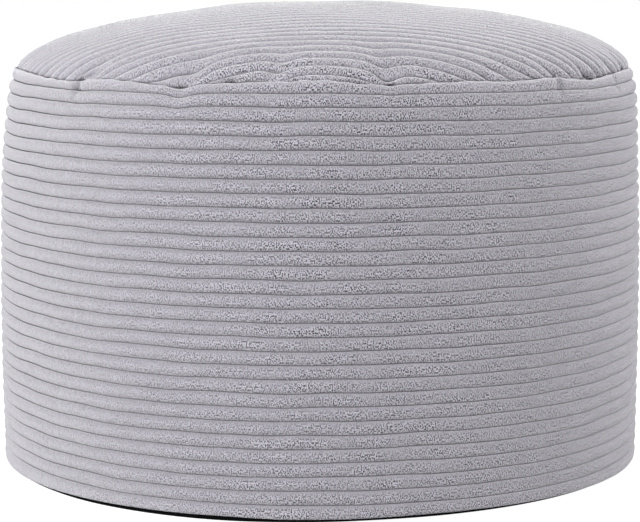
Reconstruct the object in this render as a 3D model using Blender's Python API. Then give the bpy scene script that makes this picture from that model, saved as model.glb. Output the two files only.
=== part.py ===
"""Bean bag footstool in wide-wale corduroy: a round top panel, a side band and a dark base panel, filled.

The three panels are sewn edge to edge, so the filled form is divided at its two seams and each panel
is a closed solid of its own, with the fill that lies behind it. The base panel is a plain sheet.
Metres, +Z up. The origin is the centre of the base, on the surface that the stool stands on, and the
front faces -Y. An azimuth is in degrees, 0 at the front and growing towards +X.
"""

import math

import bmesh
import bpy
from mathutils import Vector

# Driving dimensions
BAND_RADIUS = 0.250
TOP_SEAM_RADIUS = 0.2370
TOP_SEAM_HEIGHT = 0.3015
CROWN_HEIGHT = 0.0535
BASE_SEAM_RADIUS = 0.2470
BASE_SEAM_HEIGHT = 0.004
BASE_FLAT_RADIUS = 0.2420
BASE_CLOTH = 0.0015  # thickness of the base panel's cloth
SEAM_GAP = 0.0003  # between two panels along their seam

SEGMENTS = 120  # round the stool
EDGE_STEPS = 4  # round the turned-up edge of the base
BAND_STEP = 0.040  # between two rings of the side band, at most

# The side band's outline from the base seam up to the top seam.
BAND_SECTIONS = (  # height, radius
    (BASE_SEAM_HEIGHT, BASE_SEAM_RADIUS),
    (0.008, 0.2486),
    (0.020, 0.2494),
    (0.060, 0.2498),
    (0.110, BAND_RADIUS),
    (0.160, BAND_RADIUS),
    (0.205, 0.2489),
    (0.240, 0.2475),
    (0.270, 0.2453),
    (0.288, 0.2432),
    (0.297, 0.2406),
    (TOP_SEAM_HEIGHT, TOP_SEAM_RADIUS),
)

# The crown is a flattened dome: height = CROWN_HEIGHT * (1 - share of the radius ** CROWN_POWER) ** fall,
# where fall is a little higher at the front and back, whose slopes are gentler than those at the two sides.
CROWN_POWER = 1.95
FALL_AT_SIDES = 0.555
FALL_AT_FRONT = 0.60
CROWN_SHIFT = 0.012  # the fill has settled towards +X by this much at the top
CROWN_SHARES = (1.0, 0.992, 0.975, 0.945, 0.90, 0.84, 0.75, 0.62, 0.45, 0.27, 0.10)

# Where the top panel is gathered into its seam: soft troughs that run up from the seam and fade.
PUCKERS = (  # azimuth, trough depth, half-width in degrees, reach up the crown, lean in degrees, seam dip
    (-163, 0.0030, 4.0, 0.045, 2.0, 0.0010),
    (-141, 0.0040, 3.5, 0.055, -3.0, 0.0015),
    (-118, 0.0030, 4.5, 0.040, 0.0, 0.0010),
    (-92, 0.0035, 4.0, 0.050, 3.0, 0.0010),
    (-70, 0.0025, 3.5, 0.040, 0.0, 0.0008),
    (-44, 0.0045, 3.0, 0.045, 3.0, 0.0025),
    (-23, 0.0045, 4.0, 0.050, 4.0, 0.0035),
    (-8, 0.0040, 3.5, 0.070, 0.0, 0.0005),
    (11, 0.0045, 4.0, 0.075, -3.0, 0.0012),
    (32, 0.0025, 4.0, 0.040, -4.0, 0.0008),
    (44, 0.0030, 3.0, 0.040, -3.0, 0.0008),
    (53, 0.0035, 3.0, 0.045, -3.0, 0.0010),
    (63, 0.0035, 3.0, 0.050, -2.0, 0.0008),
    (88, 0.0030, 4.0, 0.050, 0.0, 0.0010),
    (112, 0.0040, 3.5, 0.055, 3.0, 0.0015),
    (134, 0.0030, 4.5, 0.040, -2.0, 0.0010),
    (158, 0.0035, 3.5, 0.050, 0.0, 0.0010),
    (178, 0.0030, 4.0, 0.045, 2.0, 0.0010),
)
PINCH = 0.6  # how far a pucker draws the seam inwards, as a share of its trough depth
PINCH_REACH = 0.050  # how far up the crown the seam's dips and pinches are felt
TROUGH_ONSET = 0.006  # a trough has its full depth this far from the seam
INTERFACE_SHARE = 0.8  # inside this share of the radius the faces behind the top seam are flat

# Broad unevenness of the crown, where the beads lie higher or lower.
LUMPS = (  # x, y, height, spread
    (-0.150, 0.020, -0.0015, 0.055),
    (0.060, -0.110, -0.0018, 0.050),
    (0.130, 0.040, 0.0014, 0.060),
    (-0.040, 0.100, -0.0014, 0.060),
)

CORDUROY_GREY = (0.42, 0.41, 0.45, 1.0)
BASE_BLACK = (0.012, 0.012, 0.013, 1.0)


def smooth_between(sections, step):
    """Points along a smooth curve through the sections, about one step apart, ends included."""
    points = [Vector(s) for s in sections]
    found = [points[0]]
    for i in range(len(points) - 1):
        before, start = points[max(i - 1, 0)], points[i]
        end, after = points[i + 1], points[min(i + 2, len(points) - 1)]
        pieces = max(1, round((end - start).length / step))
        for k in range(1, pieces + 1):
            t = k / pieces
            found.append(
                0.5
                * (
                    2 * start
                    + (end - before) * t
                    + (2 * before - 5 * start + 4 * end - after) * t**2
                    + (3 * start - before - 3 * end + after) * t**3
                )
            )
    return found


def bump(offset_degrees, half_width):
    """1 in the middle, falling smoothly to 0 at twice the half-width."""
    offset = (offset_degrees + 180) % 360 - 180
    if abs(offset) >= 2 * half_width:
        return 0.0
    return math.cos(offset / half_width * math.pi / 4) ** 2


def seam_dip(azimuth):
    return sum(dip * bump(azimuth - at, width) for at, _, width, _, _, dip in PUCKERS)


def seam_pinch(azimuth):
    return sum(PINCH * deep * bump(azimuth - at, width) for at, deep, width, _, _, _ in PUCKERS)


def trough(azimuth, inwards):
    """How far the puckers lower the crown at this distance in from the seam."""
    lowered = 0.0
    for at, deep, width, reach, lean, _ in PUCKERS:
        along = inwards / reach
        if along < 1:
            lowered += deep * (1 - along) ** 2 * bump(azimuth - at - lean * along, width * (1 + along))
    return lowered * min(1.0, inwards / TROUGH_ONSET)


def lump(x, y):
    raised = 0.0
    for at_x, at_y, high, spread in LUMPS:
        raised += high * math.exp(-((x - at_x) ** 2 + (y - at_y) ** 2) / spread**2)
    return raised


def around(azimuth, radius, height):
    angle = math.radians(azimuth)
    return Vector((radius * math.sin(angle), -radius * math.cos(angle), height))


def ring(radius, height):
    """One closed ring of points. Radius and height are numbers, or functions of the azimuth."""
    azimuths = [360 * i / SEGMENTS for i in range(SEGMENTS)]
    radius_at = radius if callable(radius) else lambda _: radius
    height_at = height if callable(height) else lambda _: height
    return [around(a, radius_at(a), height_at(a)) for a in azimuths]


def crown_ring(share):
    """The crown's points at this share of the way out to the seam."""
    inwards = (1 - share) * TOP_SEAM_RADIUS
    hold = max(0.0, 1 - inwards / PINCH_REACH) ** 2
    points = []
    for i in range(SEGMENTS):
        azimuth = 360 * i / SEGMENTS
        facing = abs(math.cos(math.radians(azimuth)))
        fall = FALL_AT_SIDES + (FALL_AT_FRONT - FALL_AT_SIDES) * facing
        rise = (1 - share**CROWN_POWER) ** fall
        height = TOP_SEAM_HEIGHT + SEAM_GAP / 2 + CROWN_HEIGHT * rise
        point = around(azimuth, share * (TOP_SEAM_RADIUS - hold * seam_pinch(azimuth)), height)
        point.x += CROWN_SHIFT * rise
        point.z -= hold * seam_dip(azimuth) + trough(azimuth, inwards)
        point.z += lump(point.x, point.y) * (1 - share**2)
        points.append(point)
    return points


def lofted(name, rings, material):
    """A closed solid through the rings, from a pole under the first one to a pole over the last one."""
    mesh = bpy.data.meshes.new(name)
    bm = bmesh.new()
    rows = [[bm.verts.new(point) for point in points] for points in rings]
    for low, high in zip(rows, rows[1:]):
        for i in range(SEGMENTS):
            j = (i + 1) % SEGMENTS
            bm.faces.new((low[i], low[j], high[j], high[i]))
    for row, upwards in ((rows[0], False), (rows[-1], True)):
        middle = sum((v.co for v in row), Vector()) / SEGMENTS
        pole = bm.verts.new(middle)
        for i in range(SEGMENTS):
            pair = (row[i], row[(i + 1) % SEGMENTS])
            bm.faces.new((pair if upwards else pair[::-1]) + (pole,))
    bmesh.ops.recalc_face_normals(bm, faces=bm.faces)
    bmesh.ops.triangulate(bm, faces=bm.faces)
    bm.to_mesh(mesh)
    bm.free()
    mesh.shade_smooth()
    mesh.set_sharp_from_angle(angle=math.radians(40))
    mesh.materials.append(material)
    made = bpy.data.objects.new(name, mesh)
    bpy.context.scene.collection.objects.link(made)
    return made


def cloth_material(name, colour, roughness, sheen):
    made = bpy.data.materials.new(name)
    made.use_nodes = True
    shader = made.node_tree.nodes["Principled BSDF"]
    shader.inputs["Base Color"].default_value = colour
    shader.inputs["Roughness"].default_value = roughness
    shader.inputs["Sheen Weight"].default_value = sheen
    made.diffuse_color = colour
    return made


def turned_up_edge(offset):
    """(radius, height) from the base's flat up to its seam, this far inside the base's outer face."""
    steps = []
    for i in range(EDGE_STEPS + 1):
        angle = math.pi / 2 * i / EDGE_STEPS
        steps.append(
            (
                BASE_FLAT_RADIUS + (BASE_SEAM_RADIUS - offset - BASE_FLAT_RADIUS) * math.sin(angle),
                offset + (BASE_SEAM_HEIGHT - offset) * (1 - math.cos(angle)),
            )
        )
    return steps


def base_panel(material):
    """The base cloth: flat on the floor, its edge turned up round the fill to the base seam."""
    rim_height = BASE_SEAM_HEIGHT - SEAM_GAP
    edge = turned_up_edge(0) + turned_up_edge(BASE_CLOTH)[::-1]
    return lofted("base_panel", [ring(r, min(z, rim_height)) for r, z in edge], material)


def side_band(material):
    """The filled drum behind the side band, drawn in at both seams."""
    seat = BASE_CLOTH + SEAM_GAP
    bottom = [ring(r, z) for r, z in turned_up_edge(seat)]
    wall = [ring(r, z) for z, r in smooth_between(BAND_SECTIONS, BAND_STEP)[:-1]]
    level = TOP_SEAM_HEIGHT - SEAM_GAP / 2
    rim = ring(lambda a: TOP_SEAM_RADIUS - seam_pinch(a), lambda a: level - seam_dip(a))
    inner = ring(TOP_SEAM_RADIUS * INTERFACE_SHARE, level)
    return lofted("side_band", bottom + wall + [rim, inner], material)


def top_panel(material):
    """The filled crown behind the top panel, gathered into its seam."""
    inner = ring(TOP_SEAM_RADIUS * INTERFACE_SHARE, TOP_SEAM_HEIGHT + SEAM_GAP / 2)
    return lofted("top_panel", [inner] + [crown_ring(share) for share in CROWN_SHARES], material)


def main():
    for old in list(bpy.data.objects):
        bpy.data.objects.remove(old)
    corduroy = cloth_material("corduroy", CORDUROY_GREY, roughness=0.9, sheen=0.4)
    base_cloth = cloth_material("base_cloth", BASE_BLACK, roughness=0.85, sheen=0.0)
    base_panel(base_cloth)
    side_band(corduroy)
    top_panel(corduroy)


main()
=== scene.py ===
"""Looks of the bean bag footstool: wide-wale corduroy over a loose fill, on a black base cloth.

Three closed pieces replace the three CAD nodes. Each corduroy piece is meshed along its own wales, so
that the wales are real relief, and the pile on them is bump and colour in the material. Metres, +Z up,
front at -Y. An azimuth is in degrees, 0 at the front and growing towards +X.
"""

import math

import bpy
import numpy as np
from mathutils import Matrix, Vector


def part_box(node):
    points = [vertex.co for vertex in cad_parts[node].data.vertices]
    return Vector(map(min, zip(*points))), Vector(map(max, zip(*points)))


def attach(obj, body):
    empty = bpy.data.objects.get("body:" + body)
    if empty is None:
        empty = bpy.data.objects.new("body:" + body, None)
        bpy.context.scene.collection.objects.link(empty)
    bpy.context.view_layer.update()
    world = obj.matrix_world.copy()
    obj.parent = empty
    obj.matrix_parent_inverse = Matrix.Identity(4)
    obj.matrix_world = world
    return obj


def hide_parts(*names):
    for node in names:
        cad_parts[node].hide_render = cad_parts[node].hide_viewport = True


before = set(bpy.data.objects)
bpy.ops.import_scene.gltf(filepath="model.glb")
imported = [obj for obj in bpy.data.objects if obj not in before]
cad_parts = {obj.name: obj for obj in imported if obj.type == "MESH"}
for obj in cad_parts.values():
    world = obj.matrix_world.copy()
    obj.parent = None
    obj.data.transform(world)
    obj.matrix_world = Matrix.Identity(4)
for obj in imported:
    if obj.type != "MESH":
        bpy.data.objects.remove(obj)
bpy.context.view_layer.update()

# Sizes read from the frame
BAND_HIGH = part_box("side_band")[1]
TOP_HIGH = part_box("top_panel")[1]
BASE_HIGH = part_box("base_panel")[1]
BAND_RADIUS = BAND_HIGH.x
BASE_RADIUS = BASE_HIGH.x
SEAM_GAP = 0.0003  # between two panels along their seam
TOP_SEAM = BAND_HIGH.z + SEAM_GAP / 2
BASE_SEAM = BASE_HIGH.z + SEAM_GAP
CROWN_TOP = TOP_HIGH.z

# Corduroy
PITCH = 0.00972  # from one groove to the next, along the cloth
WALE_DEPTH = 0.0032
WALE_SHAPE = 2.3  # higher is flatter on the crest and steeper at the groove
GROOVE_SHAPE = 0.62  # higher is wider at the groove

# A wale from its lower groove to its upper one. The mesh has a row of points at each of these places.
# The low tones in the grooves are partly the cloth's darker ground and partly painted shade. The top panel's
# high tones at each wale's upper edge are a painted highlight.
WALE_LOOK = (  # place in wales, tone with painted shade on the band, tone with painted shade and highlight on the top panel, mottling, painted light low on the wale and painted shade high on it, painted light in its middle and painted shade at its edges
    (0.0, 0.12, 0.10, 0.0, 0.0, 0.0),
    (0.045, 0.78, 0.78, 0.5, 0.6, -0.9),
    (0.13, 0.97, 1.00, 0.9, 1.0, -0.5),
    (0.27, 0.98, 1.03, 1.0, 0.7, 0.2),
    (0.50, 0.97, 1.04, 1.0, 0.0, 1.0),
    (0.73, 0.97, 1.08, 0.8, -0.6, 0.0),
    (0.87, 1.04, 1.26, 0.25, -0.6, -1.3),
    (0.955, 1.00, 1.24, 0.1, -0.3, -1.0),
)
PLACE, BAND_TONE_AND_SHADE, TOP_TONE_SHADE_HIGHLIGHT, MOTTLE, LOWER_HALF_LIGHT, MIDDLE_LIGHT = range(6)

# Small unevenness of the cloth: its height, its wavelength and the seed of its waves
BAND_BULGE = (0.0003, 0.16, 3)  # in and out
BAND_WANDER = (0.0003, 0.05, 5)  # up and down
SCALLOPS = (0.0003, 0.012, 41)  # the band's top edge, stitch by stitch
CROWN_BULGE = (0.0006, 0.11, 11)  # up and down
CROWN_WANDER = (0.0005, 0.035, 23)  # to the front and the back
WAVE_COUNT = 7

# Mesh steps
CURVE_STEP = 0.0005  # between the points of the band's outline, at most
FINE_STEP = 0.0021  # along the wales, near the top seam and on the top panel
BAND_STEP = 0.0050  # along the wales on the rest of the band
SEAM_COLUMNS = (0.0, 0.0006, 0.0014, 0.0026)  # to each side of the band's upright seam
CLEAR_OF_EDGE = 0.0002  # the top panel's first and last rows keep this far from its edge
CROWDED = 0.4  # a point that is nearer than this to its row's end, in steps, is left out
DENSE_POINTS = 3601  # on half of the top panel's edge, to look the rows' ends up in
FINE_WALES = 4  # wales under the top seam that take the fine step
BAND_PROBE = (0.1, 0.02)  # degrees and wales to each side of a point, for the band's normal there
TOP_PROBE = (0.0004, 0.0004)  # and for the top panel's


def smooth_curve(points):
    """A dense polyline along a smooth curve through the points, ends included."""
    points = np.array(points, float)
    lengths = np.linalg.norm(np.diff(points, axis=0), axis=1)
    knots = np.concatenate([[0], np.cumsum(np.sqrt(lengths))])
    slopes = np.gradient(points, knots, axis=0)
    found = [points[:1]]
    for i, length in enumerate(lengths):
        t = np.linspace(0, 1, max(2, int(length / CURVE_STEP)) + 1)[1:, None]
        width = knots[i + 1] - knots[i]
        found.append(
            (2 * t**3 - 3 * t**2 + 1) * points[i]
            + (t**3 - 2 * t**2 + t) * width * slopes[i]
            + (3 * t**2 - 2 * t**3) * points[i + 1]
            + (t**3 - t**2) * width * slopes[i + 1]
        )
    return np.concatenate(found)


def along(curve):
    """The length from the curve's start to each of its points."""
    return np.concatenate([[0], np.cumsum(np.linalg.norm(np.diff(curve, axis=0), axis=1))])


def ramp(value, start, end):
    """0 before start, 1 after end, smooth between."""
    t = np.clip((value - start) / (end - start), 0, 1)
    return t * t * (3 - 2 * t)


def waves(x, y, high, wavelength, seed):
    """Smooth unevenness up to about this high, with features of about this wavelength."""
    random = np.random.default_rng(seed)
    total = np.zeros(np.broadcast(x, y).shape)
    for _ in range(WAVE_COUNT):
        turn = random.uniform(0, 2 * math.pi)
        k = 2 * math.pi / (wavelength * random.uniform(0.7, 1.6))
        start = random.uniform(0, 2 * math.pi)
        total = total + np.sin(k * (x * math.cos(turn) + y * math.sin(turn)) + start)
    return high * total / math.sqrt(WAVE_COUNT)


DEGREES = np.arange(-180, 180)
CRISP, SOFT = 1.6, 4.0  # how far a table's values are rounded off, in degrees
WINDOW = 12  # degrees to each side that are taken in


def ring_of(rows, spread):
    """The value at each whole degree, from a table's azimuths and values, rounded off at its rows."""
    at, value = np.array(rows, float).T
    plain = np.interp(DEGREES, at, value, period=360)
    window = np.exp(-((np.arange(-WINDOW, WINDOW + 1) / spread) ** 2))
    closed = np.concatenate([plain[-WINDOW:], plain, plain[:WINDOW]])
    return np.convolve(closed, window / window.sum(), "valid")


def at_azimuth(azimuth, ring):
    """A ring's value at any azimuth."""
    return np.interp(azimuth, DEGREES, ring, period=360)


def wale_height(share):
    """0 in a groove, 1 on a crest, for a place counted in wales."""
    across = np.abs(2 * (share % 1) - 1)
    return (1 - across**WALE_SHAPE) ** GROOVE_SHAPE


def wale_look(share, column):
    """One column of the wales' look, for a place counted in wales."""
    look = np.array(WALE_LOOK).T
    return np.interp(share, look[PLACE], look[column], period=1)


# The top seam's own line round the stool
SEAM_LINE = (  # azimuth, rise
    (-180, -0.0004),
    (-165, -0.0012),
    (-150, 0.0003),
    (-138, -0.0010),
    (-120, 0.0005),
    (-104, -0.0006),
    (-90, 0.0006),
    (-71, 0.0012),
    (-64, 0.0004),
    (-59, -0.0009),
    (-55, -0.0021),
    (-48, -0.0032),
    (-44, -0.0002),
    (-40, 0.0003),
    (-36, -0.0004),
    (-31, -0.0020),
    (-28, -0.0032),
    (-24, -0.0026),
    (-20, -0.0021),
    (-16, -0.0014),
    (-12, -0.0008),
    (-5, 0.0002),
    (0, 0.0011),
    (4, -0.0006),
    (7, -0.0020),
    (15, -0.0016),
    (19, -0.0010),
    (26, -0.0002),
    (33, -0.0008),
    (40, 0.0006),
    (44, 0.0007),
    (48, -0.0010),
    (53, -0.0024),
    (58, -0.0010),
    (64, 0.0008),
    (71, 0.0013),
    (90, 0.0005),
    (103, -0.0006),
    (118, 0.0006),
    (131, -0.0012),
    (146, 0.0002),
    (161, -0.0010),
)
SEAM_RISE = ring_of(SEAM_LINE, CRISP)

# Where the wales run lower or higher than level
SAGS = (  # azimuth, height, how far round in degrees and how far up and down it is felt, drop
    (-35, 0.15, 22, 0.30, 0.0012),
    (0, 0.20, 15, 0.20, 0.0005),
    (10, 0.05, 14, 0.06, -0.0009),
    (24, 0.27, 18, 0.09, 0.0009),
    (48, 0.15, 20, 0.30, 0.0010),
    (-85, 0.31, 18, 0.03, -0.0020),
    (85, 0.31, 18, 0.03, -0.0020),
    (122, 0.20, 22, 0.20, 0.0008),
    (168, 0.24, 20, 0.15, 0.0010),
    (-128, 0.12, 25, 0.20, 0.0009),
)
SAG_ONSET = 0.02  # a sag is felt in full from this height up

# Gathers at the top seam. There the seam takes up more of the top panel, which dips and folds towards it,
# and some nick the band's first wales too.
GATHERS = (  # azimuth, taken up, trough, half-width in degrees, reach, lean in degrees, seam dip, nick
    (-166, 0.0040, 0.0030, 4.0, 0.045, 3.0, 0.0010, 0.0),
    (-149, 0.0050, 0.0035, 3.5, 0.050, -3.0, 0.0018, 0.4),
    (-131, 0.0030, 0.0025, 4.0, 0.040, 0.0, 0.0008, 0.0),
    (-112, 0.0050, 0.0035, 3.5, 0.050, 4.0, 0.0012, 0.6),
    (-93, 0.0035, 0.0030, 4.0, 0.045, 0.0, 0.0010, 0.0),
    (-74, 0.0030, 0.0025, 3.5, 0.040, 2.0, 0.0004, 0.3),
    (-58, 0.0020, 0.0015, 3.0, 0.035, 2.0, 0.0, 0.0),
    (-46.3, 0.0, 0.0025, 1.0, 0.020, 3.5, 0.0, 2.0),
    (-44.5, 0.0045, 0.0030, 2.2, 0.045, 3.0, 0.0010, 0.0),
    (-28, 0.0020, 0.0015, 2.5, 0.035, 3.0, 0.0, 0.0),
    (-24, 0.0065, 0.0040, 2.5, 0.050, 4.0, 0.0033, 0.2),
    (-15, 0.0008, 0.0015, 2.5, 0.035, 2.0, 0.0, 0.0),
    (-8, 0.0050, 0.0035, 2.1, 0.065, 0.0, 0.0002, 0.0),
    (11, 0.0065, 0.0045, 2.3, 0.075, -4.0, 0.0008, 0.0),
    (28, 0.0036, 0.0, 10.0, 0.060, 0.0, 0.0, 0.0),
    (30, 0.0020, 0.0020, 2.5, 0.035, -3.0, 0.0002, 0.0),
    (35, 0.0020, 0.0015, 2.5, 0.035, -3.0, 0.0002, 0.0),
    (43.6, 0.0035, 0.0030, 2.0, 0.040, -3.0, 0.0, 1.3),
    (53, 0.0045, 0.0042, 1.7, 0.038, -3.0, 0.0004, 0.0),
    (63, 0.0035, 0.0036, 1.7, 0.040, -2.0, 0.0004, 0.8),
    (71, 0.0035, 0.0030, 1.8, 0.040, -1.0, 0.0002, 0.3),
    (87, 0.0040, 0.0030, 3.5, 0.045, 0.0, 0.0010, 0.0),
    (104, 0.0045, 0.0035, 3.5, 0.050, 3.0, 0.0012, 0.5),
    (122, 0.0030, 0.0025, 4.0, 0.040, -2.0, 0.0008, 0.0),
    (140, 0.0055, 0.0035, 3.5, 0.050, 2.0, 0.0018, 0.4),
    (159, 0.0035, 0.0030, 4.0, 0.045, 0.0, 0.0008, 0.0),
    (176, 0.0045, 0.0030, 3.5, 0.045, 2.0, 0.0010, 0.0),
)
AT, TAKEN_UP, TROUGH, HALF_WIDTH, REACH, LEAN, SEAM_DIP, NICK = range(8)

# Small dark pockets where the top panel's edge is pulled in behind the seam
PITS = (  # azimuth, half-width in degrees, depth
    (-149, 0.9, 0.0075),
    (-112, 0.8, 0.0070),
    (-74, 0.6, 0.0050),
    (-46.8, 0.9, 0.0065),
    (-24.3, 0.7, 0.0070),
    (-15.4, 1.0, 0.0080),
    (11.3, 0.7, 0.0080),
    (43.7, 0.5, 0.0080),
    (51.8, 0.5, 0.0070),
    (54.3, 0.5, 0.0070),
    (62.7, 0.6, 0.0065),
    (71, 0.6, 0.0055),
    (104, 0.7, 0.0070),
    (140, 1.0, 0.0075),
    (176, 0.7, 0.0065),
)
PIT_LOW, PIT_HIGH = 0.0030, 0.0060  # a pit has its full depth this near the seam, and none this far from it

# Painted shade for narrow creases in the top panel that start at its seam; they have no shape of their own
CREASE_SHADES = (  # azimuth at the seam, half-width in degrees, reach up the crown, lean in degrees, darkness
    (-48.6, 0.60, 0.015, 5.6, 0.75),
    (30.2, 0.45, 0.012, -4.0, 0.40),
    (43.3, 0.40, 0.008, -1.0, 0.60),
    (51.6, 0.50, 0.014, -3.0, 0.55),
    (54.4, 0.50, 0.014, -3.0, 0.60),
    (58.6, 0.50, 0.012, -2.0, 0.45),
    (62.6, 0.50, 0.014, -2.0, 0.45),
    (-112, 0.60, 0.018, 3.0, 0.50),
    (104, 0.60, 0.018, 3.0, 0.50),
    (140, 0.60, 0.018, 2.0, 0.50),
)


def apart(azimuth, other):
    """Degrees from one azimuth to the other, from -180 to 180."""
    return (azimuth - other + 180) % 360 - 180


def gathered(azimuth, inwards, column):
    """One column summed over the gathers, each a narrow fold that fades with the distance from the seam."""
    total = 0.0
    for row in GATHERS:
        part = np.clip(inwards / row[REACH], 0, 1)
        offset = apart(azimuth, row[AT] + row[LEAN] * part) / (row[HALF_WIDTH] * (1 + part))
        total = total + row[column] * (1 - part) ** 1.5 / (1 + offset**2) ** 1.5
    return total


def sag(azimuth, height):
    """How far the wales hang below level."""
    total = 0.0
    for at, level, turn, spread, drop in SAGS:
        total = total + drop * np.exp(-((apart(azimuth, at) / turn) ** 2) - ((height - level) / spread) ** 2)
    return total * ramp(height, 0.0, SAG_ONSET)


def crease_shade(azimuth, inwards):
    """Painted shade: 1 on open cloth, and lower in the creases."""
    shade = 1.0
    for at, half_width, reach, lean, darkness in CREASE_SHADES:
        part = np.clip(inwards / reach, 0, 1)
        offset = apart(azimuth, at + lean * part) / half_width
        shade = shade * (1 - darkness * (1 - part**2) * np.exp(-(offset**2)))
    return shade


def pit(azimuth, inwards):
    """How far the top panel is pulled in behind the seam."""
    total = 0.0
    for at, half_width, deep in PITS:
        total = total + deep * np.exp(-((apart(azimuth, at) / half_width) ** 2))
    return total * (1 - ramp(inwards, PIT_LOW, PIT_HIGH))


# Cloth at the seams
ROLL = 0.0016  # radius of the turn by which the top panel dives into its seam
SEATED = 0.0012  # how far the panel's edge lies below the band's, behind it
HIDDEN = 0.010  # how far the top panel's outline goes on inside
SEAM_ALLOWANCE = 0.001  # how far beyond the seam the panel is cut

# The stool's foot. The base turns up nearest to its edge at the front left. The band's lip hangs over it, or
# stops short of it where the overhang is negative.
FOOT = (  # azimuth, how far in from its edge the base turns up, overhang
    (-180, 0.010, 0.0010),
    (-130, 0.012, 0.0012),
    (-90, 0.016, 0.0016),
    (-62, 0.004, 0.0015),
    (-42, 0.001, 0.0011),
    (-32, 0.001, 0.0006),
    (-22, 0.001, 0.0004),
    (-15, 0.0015, -0.0002),
    (-11, 0.003, 0.0004),
    (-5, 0.005, 0.0009),
    (1, 0.007, 0.0003),
    (6, 0.012, 0.0004),
    (12, 0.018, -0.0005),
    (21, 0.022, -0.0011),
    (30, 0.026, -0.0007),
    (40, 0.026, -0.0003),
    (60, 0.026, 0.0002),
    (90, 0.018, 0.0008),
    (135, 0.012, 0.0008),
)
TURNED_IN = ring_of([(at, turned_in) for at, turned_in, _ in FOOT], SOFT)
OVERHANG = ring_of([(at, overhang) for at, _, overhang in FOOT], SOFT)

# ---- Side band ----

TURNED_UNDER = 0.0016  # how far under the top seam the disc lies that closes the band there
BASE_SINK = 0.0010  # how far under the base seam the middle of the lower disc lies
BAND_OUTLINE = (  # radius and height, from inside the base seam to inside the top seam
    (BASE_RADIUS - 0.0080, BASE_SEAM + 0.0004),
    (BASE_RADIUS + 0.0003, BASE_SEAM + 0.0004),
    (BASE_RADIUS + 0.0011, BASE_SEAM - 0.0002),
    (BASE_RADIUS + 0.0018, BASE_SEAM + 0.0012),
    (BAND_RADIUS - 0.0009, BASE_SEAM + 0.0140),
    (BAND_RADIUS - 0.0003, 0.050),
    (BAND_RADIUS, 0.095),
    (BAND_RADIUS - 0.0001, 0.145),
    (BAND_RADIUS - 0.0010, 0.200),
    (BAND_RADIUS - 0.0025, 0.240),
    (BAND_RADIUS - 0.0046, 0.270),
    (BAND_RADIUS - 0.0066, 0.288),
    (BAND_RADIUS - 0.0093, TOP_SEAM - 0.0040),
    (BAND_RADIUS - 0.0104, TOP_SEAM - 0.0012),
    (BAND_RADIUS - 0.0118, TOP_SEAM + 0.0001),
    (BAND_RADIUS - 0.0132, TOP_SEAM - 0.0008),
    (BAND_RADIUS - 0.0145, TOP_SEAM - TURNED_UNDER),
    (BAND_RADIUS - 0.0195, TOP_SEAM - TURNED_UNDER),
)
BASE_EDGE, LIP, TOP_EDGE = 1, 2, -4  # the outline's rows at its lower edge, lip and top edge
LOWEST_GROOVE = 0.0129  # height of the groove over the lowest wale
CRESTS = (0.5, 30.5)  # beyond these, in wales, the cloth turns in to a seam without a groove
BAND_SHIFT = 0.0020  # the fill leans the band's top towards +X by this much
SHIFT_FROM = 0.22  # from this height up
STEADY = 0.03  # the base seam holds the band's cloth still, less and less up to this height
STEADY_TOP = 0.02  # and the top seam down to this far under it
SEAM_FADE = 0.005  # how far down the band the seam's line fades
LIP_HIGHLIGHT = 1.18  # painted highlight along the band's top edge
LIP_WALES = 0.42  # how wide that edge is
LIP_MOTTLE = 0.8  # how much less mottled it is there
HANG_WALES = 0.8  # how far up the band its overhang at the foot is felt
DIP_REACH = 0.032  # how far down the band a gather's dip is felt
BAND_DIP_DRAW = 0.4  # how far a dip draws the band in, as a share of it
NICK_DEPTH = 0.0018
NICK_WIDTH = 0.65  # degrees
NICK_FROM, NICK_TO = 2.0, 0.6  # wales under the top edge where a nick starts and where it is whole
NICK_SHADE = 0.14  # painted shade in the nicks: how much darker the pile is there
JOIN_DEPTH = 0.0022  # the band's ends are joined by an upright seam at the back
JOIN_WIDTH = 0.0011
GROOVE_SHADES = (  # azimuth, how dark the painted shade in the grooves between the wales is
    (-150, 1.0),
    (-90, 1.8),
    (-65, 1.7),
    (-52, 1.18),
    (-38, 0.82),
    (-20, 0.92),
    (12, 1.0),
    (30, 0.92),
    (45, 0.78),
    (60, 0.83),
    (90, 1.2),
    (150, 1.0),
)
GROOVE_PAINTED_SHADE = ring_of(GROOVE_SHADES, SOFT)
PAINTED_WALE_LIGHT = (  # azimuth, how much painted light lightens each wale's lower half over its upper one, and how much its middle over its edges
    (-150, 0.05, 0.05),
    (-65, 0.02, 0.10),
    (-38, 0.03, 0.11),
    (-20, 0.04, 0.09),
    (0, 0.07, 0.03),
    (12, 0.14, 0.0),
    (29, 0.23, 0.0),
    (45, 0.27, 0.02),
    (65, 0.20, 0.04),
    (110, 0.12, 0.05),
)
PAINTED_LIGHT_BELOW = ring_of([(at, below) for at, below, _ in PAINTED_WALE_LIGHT], SOFT)
PAINTED_LIGHT_MIDDLE = ring_of([(at, middle) for at, _, middle in PAINTED_WALE_LIGHT], SOFT)


def band_curve():
    """The band's outline, the places along it in wales, and those of its lower edge, lip and top edge."""
    curve = smooth_curve(BAND_OUTLINE)
    length = along(curve)
    rows = [np.argmin(np.linalg.norm(curve - BAND_OUTLINE[i], axis=1)) for i in (BASE_EDGE, LIP, TOP_EDGE)]
    lip = rows[1]
    first = np.interp(LOWEST_GROOVE, curve[lip:, 1], length[lip:])
    wales = (length - first) / PITCH + 1
    return curve, wales, *wales[rows]


BAND_CURVE, BAND_COUNT, BASE_EDGE_AT, LIP_AT, TOP_EDGE_AT = band_curve()


def nicked(azimuth, wales):
    """How much the band is nicked at the gathers, in its uppermost wales."""
    total = 0.0
    for row in GATHERS:
        total = total + row[NICK] * np.exp(-((apart(azimuth, row[AT]) / NICK_WIDTH) ** 2))
    return total * ramp(wales, TOP_EDGE_AT - NICK_FROM, TOP_EDGE_AT - NICK_TO)


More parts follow.
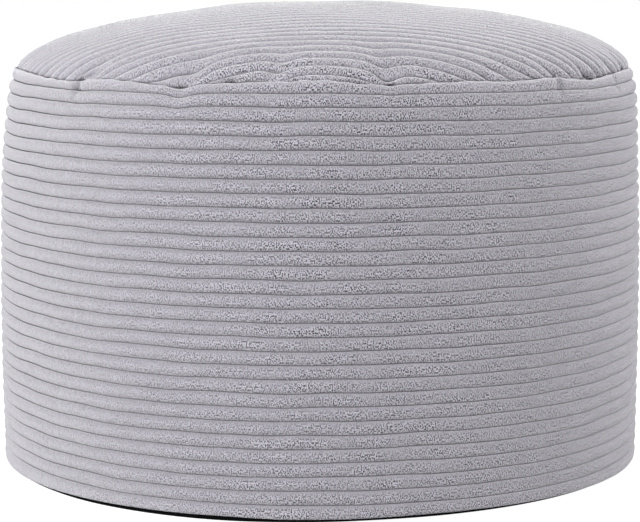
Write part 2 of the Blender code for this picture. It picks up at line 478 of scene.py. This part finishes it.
def band_surface(azimuth, wales):
    """Points of the band's smooth surface, for azimuths in degrees and heights counted in wales."""
    radius = np.interp(wales, BAND_COUNT, BAND_CURVE[:, 0])
    height = np.interp(wales, BAND_COUNT, BAND_CURVE[:, 1])
    down = np.clip((TOP_EDGE_AT - wales) * PITCH, 0, None)
    dip = gathered(azimuth, 0.0, SEAM_DIP) * np.cos(np.clip(down / DIP_REACH, 0, 1) * math.pi / 2) ** 2
    angle = np.radians(azimuth)
    arc = angle * BAND_RADIUS
    free = ramp(height, 0.0, STEADY)
    radius = radius - BAND_DIP_DRAW * dip + free * waves(arc, height, *BAND_BULGE)
    radius = radius - NICK_DEPTH * nicked(azimuth, wales)
    from_join = np.radians(apart(azimuth, 180)) * BAND_RADIUS
    radius = radius - JOIN_DEPTH * np.exp(-((from_join / JOIN_WIDTH) ** 2)) * free
    hangs = ramp(wales, BASE_EDGE_AT, LIP_AT) * (1 - ramp(wales, LIP_AT, LIP_AT + HANG_WALES))
    drop = sag(azimuth, height) + dip + at_azimuth(azimuth, OVERHANG) * hangs
    rise = at_azimuth(azimuth, SEAM_RISE) + waves(arc, 0.0, *SCALLOPS)
    rise = rise * np.exp(-down / SEAM_FADE)
    wander = waves(arc, height, *BAND_WANDER) * free * ramp(down, 0.0, STEADY_TOP)
    height = height + rise - drop + wander
    x = radius * np.sin(angle) + BAND_SHIFT * ramp(height, SHIFT_FROM, TOP_SEAM)
    return np.stack([x, -radius * np.cos(angle), height], -1)


# ---- Top panel ----

TOP_RADIUS = BAND_RADIUS - 0.0133  # at its widest, just over the seam
CROWN_POWER = 1.95  # the crown's height falls as (1 - share of the radius ** CROWN_POWER) ** fall
FALL_AT_SIDES = 0.555
FALL_AT_FRONT = 0.596
CROWN_SHIFT = 0.0125  # the fill has settled towards +X by this much at the top
CROWN_POINTS, ROLL_POINTS, EVEN_POINTS = 160, 12, 900  # along its outline
TOP_STEADY = 0.008  # the seam holds the panel's cloth still, less and less up to this far from it
TOP_DIP_DRAW = 0.3  # how far a dip draws the panel in, as a share of it
TROUGH_DRAW = 0.55  # and how far a trough does
TROUGH_AT_SEAM = 0.25  # the part of that which is felt at the seam itself
LINE_REACH = 0.030  # how far up the crown the seam's line is felt
DIP_UP = 0.045  # how far up the crown a gather's dip is felt
EDGE_RELIEF = 0.50  # the wales' depth where the panel dives into its seam, as a share of the band's
TOP_RELIEF = 1.10  # and over the shoulder of the crown
RELIEF_ONSET = 0.006  # this far from the seam
WORN_FRONT, WORN_BACK = 0.60, 0.82  # how much flatter and plainer the wales are where the top is sat on
WORN_FROM, WORN_TO = 0.014, 0.040  # in from the seam
WORN_WIDER = 0.010  # and nearer to it towards +X
WIDER_FROM, WIDER_TO = 0.02, 0.10  # x on the flat panel
FRONT_TO, BACK_FROM = -0.12, 0.06  # y on the flat panel
WORN_TONE = 0.92  # the pile's tone there
FLATTENED = 0.75  # the wear's share that lowers the wales themselves
PATCHES = (  # x and y on the flat panel, tone added, spread
    (-0.085, -0.180, 0.06, 0.028),
    (-0.100, -0.224, -0.09, 0.016),
    (-0.190, -0.080, -0.05, 0.040),
    (0.180, -0.120, -0.04, 0.030),
)
BRUSHED, UNBRUSHED = 1.15, 0.60  # the mottling over the shoulder of the crown and in the middle
SEAM_PAINTED_SHADE = 0.45  # painted shade: the pile's tone at the seam
SHADED_TO, LIT_FROM = 0.0018, 0.0038  # in from the seam
TOP_PHASE = 0.07  # where the grooves fall, as a share of a wale from the panel's middle
LUMPS = (  # x, y, height, spread
    (0.060, -0.110, -0.0014, 0.050),
    (0.055, 0.080, -0.0010, 0.050),
    (-0.110, 0.070, 0.0008, 0.035),
    (-0.080, 0.000, 0.0004, 0.030),
    (-0.215, 0.000, 0.0028, 0.022),
    (0.192, 0.000, 0.0018, 0.022),
)


def crown_outline(fall):
    """Shares of the cloth's length from middle to seam, with their radii and heights, and that length."""
    turn = np.linspace(0, math.pi / 2, CROWN_POINTS)
    bend = np.linspace(0, math.pi / 2, ROLL_POINTS)[1:]
    radius = np.append(TOP_RADIUS * np.sin(turn), TOP_RADIUS - ROLL * (1 - np.cos(bend)))
    rise = CROWN_TOP - TOP_SEAM + SEATED - ROLL
    height = np.append(ROLL + rise * (1 - np.sin(turn) ** CROWN_POWER) ** fall, ROLL * (1 - np.sin(bend)))
    reach = along(np.stack([radius, height], -1))[-1]
    radius, height = np.append(radius, radius[-1] - HIDDEN), np.append(height, 0.0)
    length = along(np.stack([radius, height], -1))
    even = np.linspace(0, length[-1], EVEN_POINTS)
    return even / reach, np.interp(even, length, radius), np.interp(even, length, height), reach


SIDE = crown_outline(FALL_AT_SIDES)
FRONT = crown_outline(FALL_AT_FRONT)


def between(azimuth, front, side):
    """A blend from what holds at the front and back to what holds at the two sides."""
    share = np.cos(np.radians(azimuth)) ** 2
    return share * front + (1 - share) * side


def laid(x, y):
    """At places on the flat panel: azimuth, the cloth's length to its middle, and from there to the seam."""
    azimuth = np.degrees(np.arctan2(x, -y))
    reach = between(azimuth, FRONT[3], SIDE[3])
    from_middle = np.hypot(x, y)
    moved = from_middle + gathered(azimuth, np.clip(reach - from_middle, 0, None), TAKEN_UP)
    return azimuth, moved, reach


def top_surface(x, y):
    """Points of the top panel's smooth surface, for places on the flat cloth."""
    azimuth, moved, reach = laid(x, y)
    angle = np.radians(azimuth)
    inwards = np.clip(reach - moved, 0, None)
    part = moved / reach
    radius = between(azimuth, np.interp(part, FRONT[0], FRONT[1]), np.interp(part, SIDE[0], SIDE[1]))
    height = between(azimuth, np.interp(part, FRONT[0], FRONT[2]), np.interp(part, SIDE[0], SIDE[2]))
    free = ramp(inwards, 0.0, TOP_STEADY)
    dip = gathered(azimuth, 0.0, SEAM_DIP) * np.clip(1 - inwards / DIP_UP, 0, 1) ** 1.5
    trough = gathered(azimuth, inwards, TROUGH)
    drawn = TROUGH_DRAW * trough * (TROUGH_AT_SEAM + (1 - TROUGH_AT_SEAM) * free)
    radius = radius - drawn - TOP_DIP_DRAW * dip - pit(azimuth, inwards)
    lean = height / (CROWN_TOP - TOP_SEAM + SEATED)
    rise = at_azimuth(azimuth, SEAM_RISE) * np.clip(1 - inwards / LINE_REACH, 0, 1) ** 2
    rise = rise - sag(azimuth, TOP_SEAM) * (1 - lean)
    px = radius * np.sin(angle)
    py = -radius * np.cos(angle)
    pz = TOP_SEAM - SEATED + height + rise - dip - trough * free + waves(px, py, *CROWN_BULGE) * free
    for at_x, at_y, high, spread in LUMPS:
        pz = pz + high * lean * np.exp(-((px - at_x) ** 2 + (py - at_y) ** 2) / spread**2)
    px = px + BAND_SHIFT + (CROWN_SHIFT - BAND_SHIFT) * lean
    py = py + waves(x, y, *CROWN_WANDER) * free
    return np.stack([px, py, pz], -1)


def top_relief(x, y):
    """The wales' depth at places on the flat panel, as a share of the band's."""
    _, moved, reach = laid(x, y)
    relief = EDGE_RELIEF + (TOP_RELIEF - EDGE_RELIEF) * ramp(reach - moved, 0.0, RELIEF_ONSET)
    return relief * (1 - FLATTENED * worn(x, y))


def worn(x, y):
    """How much the wales are flattened, at places on the flat panel."""
    _, moved, reach = laid(x, y)
    inwards = reach - moved + WORN_WIDER * ramp(x, WIDER_FROM, WIDER_TO)
    most = WORN_FRONT + (WORN_BACK - WORN_FRONT) * ramp(y, FRONT_TO, BACK_FROM)
    return most * ramp(inwards, WORN_FROM, WORN_TO)


def seam_shade(x, y):
    """Painted shade: the tone's fall towards the seam and in the creases, at places on the flat panel."""
    azimuth, moved, reach = laid(x, y)
    inwards = np.clip(reach - moved, 0, None)
    shade = SEAM_PAINTED_SHADE + (1 - SEAM_PAINTED_SHADE) * ramp(inwards, SHADED_TO, LIT_FROM)
    return shade * crease_shade(azimuth, inwards)


# ---- Meshing ----


def embossed(surface, a, b, probe, wales, relief=1.0):
    """Points of a surface with its wales standing on it. The probe is the two steps that find its normal."""
    step_a, step_b = probe
    smooth = surface(a, b)
    along_a = surface(a + step_a, b) - surface(a - step_a, b)
    along_b = surface(a, b + step_b) - surface(a, b - step_b)
    normal = np.cross(along_a, along_b)
    normal /= np.maximum(np.linalg.norm(normal, axis=-1, keepdims=True), 1e-12)
    sunk = (wale_height(wales) - 1) * relief * WALE_DEPTH
    return smooth + normal * sunk[:, None]


def stitched(low, low_at, high, high_at):
    """Triangles between two rows of points. The places along a row only grow."""
    faces = []
    i = j = 0
    while i < len(low) - 1 or j < len(high) - 1:
        if j == len(high) - 1 or (i < len(low) - 1 and low_at[i + 1] <= high_at[j + 1]):
            faces.append((low[i], low[i + 1], high[j]))
            i += 1
        else:
            faces.append((low[i], high[j + 1], high[j]))
            j += 1
    return faces


def fan(middle, ring):
    """Triangles from a middle point to a closed ring."""
    return [(middle, ring[i - 1], ring[i]) for i in range(len(ring))]


def wale_rows(first, last, phase=0.0):
    """The places of the mesh rows between two places, counted in wales."""
    starts = np.arange(math.floor(first) - 1, math.ceil(last) + 2) + phase
    places = (starts[:, None] + np.array(WALE_LOOK)[:, PLACE]).ravel()
    return places[(places > first) & (places < last)]


def new_piece(name, points, faces, material):
    """A smooth mesh object from points and triangles."""
    mesh = bpy.data.meshes.new(name)
    mesh.from_pydata(np.asarray(points).tolist(), [], [tuple(map(int, face)) for face in faces])
    mesh.shade_smooth()
    mesh.materials.append(material)
    made = bpy.data.objects.new(name, mesh)
    bpy.context.scene.collection.objects.link(made)
    return made


def mark_cloth(piece, cloth, look, round_about=None):
    """Stores each point's place on the flat cloth, in metres, its tone with the painted shade and light in
    it, and its mottling.

    round_about is the length after which the cloth meets itself again.
    """
    mesh = piece.data
    corners = np.empty(len(mesh.loops), np.int32)
    mesh.loops.foreach_get("vertex_index", corners)
    places = np.asarray(cloth, np.float32)[corners].reshape(-1, 3, 2)
    if round_about:
        lagging = places[:, :, 0] < places[:, :, 0].max(axis=1, keepdims=True) - round_about / 2
        places[:, :, 0] += lagging * round_about
    mesh.uv_layers.new(name="Cloth").uv.foreach_set("vector", places.ravel())
    for name, values in zip(("tone_and_shading", "mottle"), np.asarray(look, np.float32).T):
        mesh.attributes.new(name, "FLOAT", "POINT").data.foreach_set("value", np.ascontiguousarray(values))


def band_columns(step):
    """Azimuths of a mesh row, even round the band and closer together at its upright seam."""
    seam = np.degrees(np.array(SEAM_COLUMNS) / BAND_RADIUS)
    count = round((360 - 2 * seam[-1]) * math.radians(1) * BAND_RADIUS / step)
    between_seams = np.linspace(seam[-1] - 180, 180 - seam[-1], count + 1)[1:-1]
    return np.concatenate([seam - 180, between_seams, 180 - seam[::-1]])


def band_look(azimuth, level, wales):
    """The pile's tone with its painted shade and light, and its mottling, on the band."""
    # Painted shade in the grooves, set round the stool
    tone_and_shading = 1 - (1 - wale_look(wales, BAND_TONE_AND_SHADE)) * at_azimuth(azimuth, GROOVE_PAINTED_SHADE)
    # Painted light on each wale's lower half and middle, painted shade on its upper half and edges
    tone_and_shading = tone_and_shading * (1 + wale_look(wales, LOWER_HALF_LIGHT) * at_azimuth(azimuth, PAINTED_LIGHT_BELOW))
    tone_and_shading = tone_and_shading * (1 + wale_look(wales, MIDDLE_LIGHT) * at_azimuth(azimuth, PAINTED_LIGHT_MIDDLE))
    # Painted highlight along the band's top edge, and painted shade in the nicks
    lip = ramp(level, TOP_EDGE_AT - LIP_WALES, TOP_EDGE_AT - LIP_WALES / 3)
    tone_and_shading = (tone_and_shading + (LIP_HIGHLIGHT - tone_and_shading) * lip) * (1 - NICK_SHADE * nicked(azimuth, level))
    return np.stack([tone_and_shading, wale_look(wales, MOTTLE) * (1 - LIP_MOTTLE * lip)], -1)


def side_band(material):
    """Rows of points round the band, closed by a disc under it and one over it, inside the stool."""
    azimuths, levels, rows = [], [], []
    total = 0
    for level in wale_rows(BAND_COUNT[0], BAND_COUNT[-1]):
        azimuth = band_columns(FINE_STEP if level > TOP_EDGE_AT - FINE_WALES else BAND_STEP)
        ids = total + np.arange(len(azimuth) - 1)
        total += len(ids)
        azimuths.append(azimuth[:-1])
        levels.append(np.full(len(ids), level))
        rows.append((np.append(ids, ids[0]), azimuth))
    azimuth, level = np.concatenate(azimuths), np.concatenate(levels)
    wales = np.clip(level, *CRESTS)
    points = embossed(band_surface, azimuth, level, BAND_PROBE, wales)
    middles = [(0, 0, BASE_SEAM - BASE_SINK), (0, 0, TOP_SEAM - TURNED_UNDER)]
    faces = fan(total, rows[0][0][:-1][::-1]) + fan(total + 1, rows[-1][0][:-1])
    for low, high in zip(rows, rows[1:]):
        faces += stitched(*low, *high)
    piece = new_piece("side_band_cloth", np.vstack([points, middles]), faces, material)
    cloth = np.vstack([np.stack([np.radians(azimuth) * BAND_RADIUS, level * PITCH], -1), np.zeros((2, 2))])
    look = np.vstack([band_look(azimuth, level, wales), np.ones((2, 2))])
    mark_cloth(piece, cloth, look, round_about=2 * math.pi * BAND_RADIUS)
    return piece


def top_edge(azimuth):
    """Where the flat top panel is cut, at azimuths in degrees."""
    angle = np.radians(azimuth)
    cut = between(azimuth, FRONT[3], SIDE[3]) + SEAM_ALLOWANCE
    return cut * np.sin(angle), -cut * np.cos(angle)


def top_look(x, y, wales):
    """The pile's tone with its painted shade and highlights, and its mottling, at places on the flat top
    panel.
    """
    tone_and_shading = wale_look(wales, TOP_TONE_SHADE_HIGHLIGHT)
    tone_and_shading = (tone_and_shading + (WORN_TONE - tone_and_shading) * worn(x, y)) * seam_shade(x, y)
    for at_x, at_y, added_tone, spread in PATCHES:
        tone_and_shading = tone_and_shading * (1 + added_tone * np.exp(-((x - at_x) ** 2 + (y - at_y) ** 2) / spread**2))
    mottle = wale_look(wales, MOTTLE) * (BRUSHED + (UNBRUSHED - BRUSHED) * worn(x, y) / WORN_FRONT)
    return np.stack([tone_and_shading, mottle], -1)


def top_panel(material):
    """Rows of points along the wales from the front of the flat panel to its back, within its round edge."""
    dense = np.linspace(0, 180, DENSE_POINTS)
    dense_y = top_edge(dense)[1]
    front_y, back_y = dense_y[0] + CLEAR_OF_EDGE, dense_y[-1] - CLEAR_OF_EDGE
    row_y = wale_rows(front_y / PITCH, back_y / PITCH, TOP_PHASE) * PITCH
    row_y = np.concatenate([dense_y[:1], row_y, dense_y[-1:]])
    ends = np.interp(row_y, dense_y, dense)
    places, edge = [], []

    def added(x, y):
        """Adds places to the flat panel and returns their numbers."""
        ids = range(len(places), len(places) + len(x))
        places.extend(zip(x, np.broadcast_to(y, len(x))))
        return list(ids)

    rows = []
    for y, end in zip(row_y, ends):
        far = abs(top_edge(end)[0])
        inner = np.arange(-round(far / FINE_STEP), round(far / FINE_STEP) + 1) * FINE_STEP
        inner = inner[np.abs(inner) < far - CROWDED * FINE_STEP]
        x = np.concatenate([[-far], inner, [far]]) if far > FINE_STEP / 2 else np.zeros(1)
        ids = added(x, y)
        edge += {(-end, ids[0]), (end, ids[-1])} if len(x) > 1 else [(end, ids[0])]
        rows.append((ids, list(x)))
    faces = []
    for i, (front, back) in enumerate(zip(rows, rows[1:])):
        arc = abs(ends[i + 1] - ends[i]) * math.radians(1) * TOP_RADIUS
        azimuth = np.linspace(ends[i], ends[i + 1], max(1, round(arc / FINE_STEP)) + 1)[1:-1]
        x, y = top_edge(azimuth)
        order = np.argsort(x)
        x, y, azimuth = x[order], y[order], azimuth[order]
        right, left = added(x, y), added(-x[::-1], y[::-1])
        edge += list(zip(azimuth, right)) + list(zip(-azimuth[::-1], left))
        wider = (left + front[0] + right, list(-x[::-1]) + front[1] + list(x))
        if front[1][-1] < back[1][-1]:
            faces += stitched(*wider, *back)
        else:
            wider = (left + back[0] + right, list(-x[::-1]) + back[1] + list(x))
            faces += stitched(*front, *wider)
    x, y = np.array(places).T
    wales = y / PITCH - TOP_PHASE
    points = embossed(top_surface, x, y, TOP_PROBE, wales, top_relief(x, y))
    ring = [index for _, index in sorted(edge)]
    faces += fan(len(points), ring[::-1])
    piece = new_piece("top_panel_cloth", np.vstack([points, [(0, 0, TOP_SEAM - SEATED)]]), faces, material)
    mark_cloth(piece, np.vstack([np.array(places), [(0, 0)]]), np.vstack([top_look(x, y, wales), [(1, 1)]]))
    return piece


# ---- Base panel ----

BASE_CLOTH = 0.0013  # its thickness
BASE_SEGMENTS = 300
BASE_RINGS = (0.3, 0.55, 0.75)  # shares of its radius
BASE_TURN_POINTS = 9


def base_edge(inside, turned_in):
    """Radii and heights up the base's turned-up edge, this far inside its outer face."""
    edge = []
    for turn in np.linspace(0, math.pi / 2, BASE_TURN_POINTS):
        radius = BASE_RADIUS - turned_in + (turned_in - inside) * math.sin(turn)
        edge.append((radius, inside + (BASE_HIGH.z - inside) * (1 - math.cos(turn))))
    return edge


def base_panel(material):
    """Rings of points from the middle of the outer face round the edge to the middle of the inner one."""
    azimuth = np.arange(BASE_SEGMENTS) * 360 / BASE_SEGMENTS
    angle = np.radians(azimuth)
    turned_in = at_azimuth(azimuth, TURNED_IN)
    flat = [(BASE_RADIUS * share, 0.0) for share in BASE_RINGS]
    inner = [(radius, BASE_CLOTH) for radius, _ in flat[::-1]]
    outline = flat + base_edge(0, turned_in) + base_edge(BASE_CLOTH, turned_in)[::-1] + inner
    points = []
    for radius, height in outline:
        ring = [radius * np.sin(angle), -radius * np.cos(angle), np.full(len(angle), height)]
        points.append(np.stack(ring, -1))
    rows = [np.append(np.arange(BASE_SEGMENTS), 0) + k * BASE_SEGMENTS for k in range(len(outline))]
    places = np.append(angle, 2 * math.pi)
    faces = []
    for low, high in zip(rows, rows[1:]):
        faces += stitched(low, places, high, places)
    count = len(outline) * BASE_SEGMENTS
    faces += fan(count, rows[0][:-1][::-1]) + fan(count + 1, rows[-1][:-1])
    points = np.vstack(points + [[(0, 0, 0), (0, 0, BASE_CLOTH)]])
    return new_piece("base_panel_cloth", points, faces, material)


# ---- Materials ----


class Nodes:
    """Short calls for a material's nodes."""

    def __init__(self, name):
        self.material = bpy.data.materials.new(name)
        self.material.use_nodes = True
        self.tree = self.material.node_tree
        self.shader = self.tree.nodes["Principled BSDF"]

    def add(self, kind, inputs=None, **settings):
        """A new node with its settings, and with values or links for its inputs."""
        node = self.tree.nodes.new(kind)
        for name, value in settings.items():
            setattr(node, name, value)
        for name, value in (inputs or {}).items():
            self.put(node.inputs[name], value)
        return node

    def put(self, socket, value):
        if isinstance(value, bpy.types.NodeSocket):
            self.tree.links.new(value, socket)
        else:
            socket.default_value = value

    def noise(self, place, scale, detail, roughness=0.5):
        inputs = {"Vector": place, "Scale": scale, "Detail": detail, "Roughness": roughness}
        return self.add("ShaderNodeTexNoise", inputs).outputs["Fac"]

    def math(self, operation, a, b, c=None):
        node = self.add("ShaderNodeMath", operation=operation)
        for socket, value in zip(node.inputs, (a, b, c)):
            if value is not None:
                self.put(socket, value)
        return node.outputs[0]

    def spread(self, value, low, high, from_low=0.3, from_high=0.7):
        """Maps a range, which is a noise's usual one unless given, to low..high and clamps it there."""
        inputs = {"Value": value, "From Min": from_low, "From Max": from_high, "To Min": low, "To Max": high}
        return self.add("ShaderNodeMapRange", inputs).outputs["Result"]

    def stretched(self, place, scale):
        return self.add("ShaderNodeMapping", {"Vector": place, "Scale": scale}).outputs["Vector"]

    def shade(self, colour, factors):
        """A colour darkened or lightened by the product of some factors."""
        product = factors[0]
        for factor in factors[1:]:
            product = self.math("MULTIPLY", product, factor)
        node = self.add("ShaderNodeVectorMath", operation="SCALE")
        node.inputs[0].default_value = colour[:3]
        self.put(node.inputs["Scale"], product)
        return node.outputs[0]


CORDUROY_COLOUR = (0.378, 0.364, 0.406)  # a violet grey
BLACK = (0.003, 0.003, 0.0035)


def corduroy():
    """The pile, its tufts longer across the wales than along them, on the tones that the meshes carry, which
    hold painted shade and painted highlights.
    """
    n = Nodes("corduroy_pile")
    place = n.add("ShaderNodeTexCoord").outputs["Object"]
    cloth = n.add("ShaderNodeUVMap", uv_map="Cloth").outputs["UV"]
    tone_and_shading = n.math("MAXIMUM", n.add("ShaderNodeAttribute", attribute_name="tone_and_shading").outputs["Fac"], 0.05)
    mottle = n.add("ShaderNodeAttribute", attribute_name="mottle").outputs["Fac"]
    split = n.add("ShaderNodeSeparateXYZ", {"Vector": place}).outputs
    tufts = n.noise(n.stretched(cloth, (1.0, 0.62, 1.0)), 1250.0, 0.0)
    fibres = n.noise(place, 2200.0, 1.0)
    nap = n.noise(n.stretched(cloth, (1.0, 2.0, 1.0)), 70.0, 3.0, 0.6)
    broad = n.noise(place, 9.0, 2.0)
    patches = n.noise(n.stretched(cloth, (1.0, 1.6, 1.0)), 45.0, 2.0, 0.6)

    # The pile's mottling is faded towards the left and the back: painted light, for the light that falls
    # full on the pile there
    to_right = n.spread(split["X"], 0.20, 1.0, from_low=-0.20, from_high=-0.02)
    to_back = n.spread(split["Y"], 1.0, 0.50, from_low=-0.15, from_high=-0.03)
    light_faded_mottle = n.math("MULTIPLY", to_right, mottle)
    light_faded_mottle = n.math("MULTIPLY", light_faded_mottle, to_back)
    light_faded_mottle = n.math("MULTIPLY", light_faded_mottle, n.spread(patches, 0.60, 1.40, from_low=0.35, from_high=0.65))
    tuft_tone = n.spread(tufts, -0.66, 0.38, from_low=0.38, from_high=0.56)
    speckle = n.math("MULTIPLY_ADD", tuft_tone, light_faded_mottle, 1.0)
    factors = [tone_and_shading, speckle, n.spread(nap, 0.96, 1.04), n.spread(broad, 0.98, 1.02)]
    n.put(n.shader.inputs["Base Color"], n.shade(CORDUROY_COLOUR, factors))
    relief = n.math("MULTIPLY_ADD", fibres, 0.30, tufts)
    bump = n.add("ShaderNodeBump", {"Height": relief, "Strength": 1.0, "Distance": 0.0012})
    n.put(n.shader.inputs["Normal"], bump.outputs["Normal"])
    n.put(n.shader.inputs["Roughness"], 0.9)
    n.put(n.shader.inputs["Sheen Weight"], n.math("MINIMUM", tone_and_shading, 1.0))
    n.put(n.shader.inputs["Sheen Roughness"], 0.3)
    n.put(n.shader.inputs["Specular IOR Level"], 0.2)
    return n.material


def base_cloth():
    """Plain woven black cloth, a little dusty."""
    n = Nodes("base_weave")
    place = n.add("ShaderNodeTexCoord").outputs["Object"]
    weave = []
    for direction in ("X", "Y"):
        inputs = {"Vector": place, "Scale": 320.0, "Distortion": 0.4}
        weave.append(n.add("ShaderNodeTexWave", inputs, bands_direction=direction).outputs["Fac"])
    crossed = n.math("MULTIPLY", *weave)
    dust = n.noise(place, 60.0, 3.0)
    factors = [n.spread(crossed, 0.7, 1.3, from_low=0, from_high=1), n.spread(dust, 0.8, 1.25)]
    n.put(n.shader.inputs["Base Color"], n.shade(BLACK, factors))
    bump = n.add("ShaderNodeBump", {"Height": crossed, "Strength": 0.5, "Distance": 0.0003})
    n.put(n.shader.inputs["Normal"], bump.outputs["Normal"])
    n.put(n.shader.inputs["Roughness"], 0.85)
    n.put(n.shader.inputs["Specular IOR Level"], 0.02)
    return n.material


# ---- Studio ----

LENS = 116.6  # mm
CAMERA_AWAY = 1.6283  # from the stool's axis
CAMERA_HEIGHT = 0.3544
CAMERA_DOWN = 7.15  # degrees

LIGHTS = (  # name, azimuth, height, distance from the axis, size, power
    ("front_left", -19, 1.25, 2.8, 1.4, 33.5),
    ("left", -50, 0.5, 2.6, 1.3, 37.5),
    ("left_back", -115, 0.5, 1.8, 1.0, 16.6),
    ("right", 95, 0.4, 2.0, 1.0, 26.4),
    ("right_back", 130, 0.9, 1.8, 1.0, 28.8),
    ("top", 0, 2.4, 0.05, 1.6, 17.0),
)
LIT_AT = (0, 0, 0.18)  # where the lights are aimed
GROUND = 0.05  # what the stool receives from below
WHITE = 1.0  # the strip of the backdrop that the camera sees over the floor
HORIZON = 2.47  # the bright band over that strip
SKY = 0.02  # the world above it
WORLD_BANDS = (  # upwards, brightness
    (-0.03, GROUND),
    (-0.01, WHITE),
    (0.02, WHITE),
    (0.06, HORIZON),
    (0.20, HORIZON),
    (0.50, SKY),
)
FLOOR_GLOW = 0.96  # what it gives off by itself
FLOOR_ALBEDO = 0.30
FLOOR_HALF = 200.0  # so wide that its edge is lost in the white strip of the backdrop
FLOOR_DROP = 0.0002  # clear of the base


def backdrop(scene):
    """A world in level bands: dim below, white at the floor's edge, bright over it and dim above."""
    world = bpy.data.worlds.new("studio")
    scene.world = world
    world.use_nodes = True
    tree = world.node_tree
    direction = tree.nodes.new("ShaderNodeTexCoord")
    split = tree.nodes.new("ShaderNodeSeparateXYZ")
    level = tree.nodes.new("ShaderNodeMapRange")
    level.inputs["From Min"].default_value = -1.0
    bands = tree.nodes.new("ShaderNodeValToRGB")
    tree.links.new(direction.outputs["Generated"], split.inputs[0])
    tree.links.new(split.outputs["Z"], level.inputs["Value"])
    tree.links.new(level.outputs["Result"], bands.inputs["Fac"])
    tree.links.new(bands.outputs["Color"], tree.nodes["Background"].inputs["Color"])
    stops = bands.color_ramp.elements
    while len(stops) < len(WORLD_BANDS):
        stops.new(0.5)
    for stop, (upwards, bright) in zip(stops, WORLD_BANDS):
        stop.position = (upwards + 1) / 2
        stop.color = (bright, bright, bright, 1)


def pale_floor(scene):
    """A plain floor that looks white and gives the stool no diffuse light."""
    n = Nodes("studio_floor")
    n.put(n.shader.inputs["Base Color"], (FLOOR_ALBEDO, FLOOR_ALBEDO, FLOOR_ALBEDO, 1))
    n.put(n.shader.inputs["Roughness"], 0.9)
    n.put(n.shader.inputs["Specular IOR Level"], 0.0)
    n.put(n.shader.inputs["Emission Color"], (1, 1, 1, 1))
    n.put(n.shader.inputs["Emission Strength"], FLOOR_GLOW)
    mesh = bpy.data.meshes.new("floor")
    corners = [(FLOOR_HALF * x, FLOOR_HALF * y, 0) for x, y in ((-1, -1), (1, -1), (1, 1), (-1, 1))]
    mesh.from_pydata(corners, [], [(0, 1, 2, 3)])
    mesh.materials.append(n.material)
    floor = bpy.data.objects.new("floor", mesh)
    floor.location.z = -FLOOR_DROP
    scene.collection.objects.link(floor)
    floor.visible_diffuse = False


def lamps(scene):
    """Round area lights, all aimed at the stool."""
    for name, azimuth, height, away, size, power in LIGHTS:
        data = bpy.data.lights.new(name, "AREA")
        data.shape = "DISK"
        data.size = size
        data.energy = power
        lamp = bpy.data.objects.new(name, data)
        angle = math.radians(azimuth)
        lamp.location = (away * math.sin(angle), -away * math.cos(angle), height)
        scene.collection.objects.link(lamp)
        lamp.rotation_euler = (Vector(LIT_AT) - lamp.location).to_track_quat("-Z", "Y").to_euler()


def camera(scene):
    data = bpy.data.cameras.new("camera")
    data.lens = LENS
    made = bpy.data.objects.new("camera", data)
    made.location = (0, -CAMERA_AWAY, CAMERA_HEIGHT)
    made.rotation_euler = (math.radians(90 - CAMERA_DOWN), 0, 0)
    scene.collection.objects.link(made)
    scene.camera = made


def studio():
    scene = bpy.context.scene
    scene.view_settings.view_transform = "Standard"
    backdrop(scene)
    pale_floor(scene)
    lamps(scene)
    camera(scene)


def main():
    pile = corduroy()
    top = top_panel(pile)
    band = side_band(pile)
    base = base_panel(base_cloth())
    pieces = (
        (top, "top_panel", "corduroy"),
        (band, "side_band", "corduroy"),
        (base, "base_panel", "base_cloth"),
    )
    for piece, node, slot in pieces:
        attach(piece, "root")
        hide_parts(node)
    studio()


main()
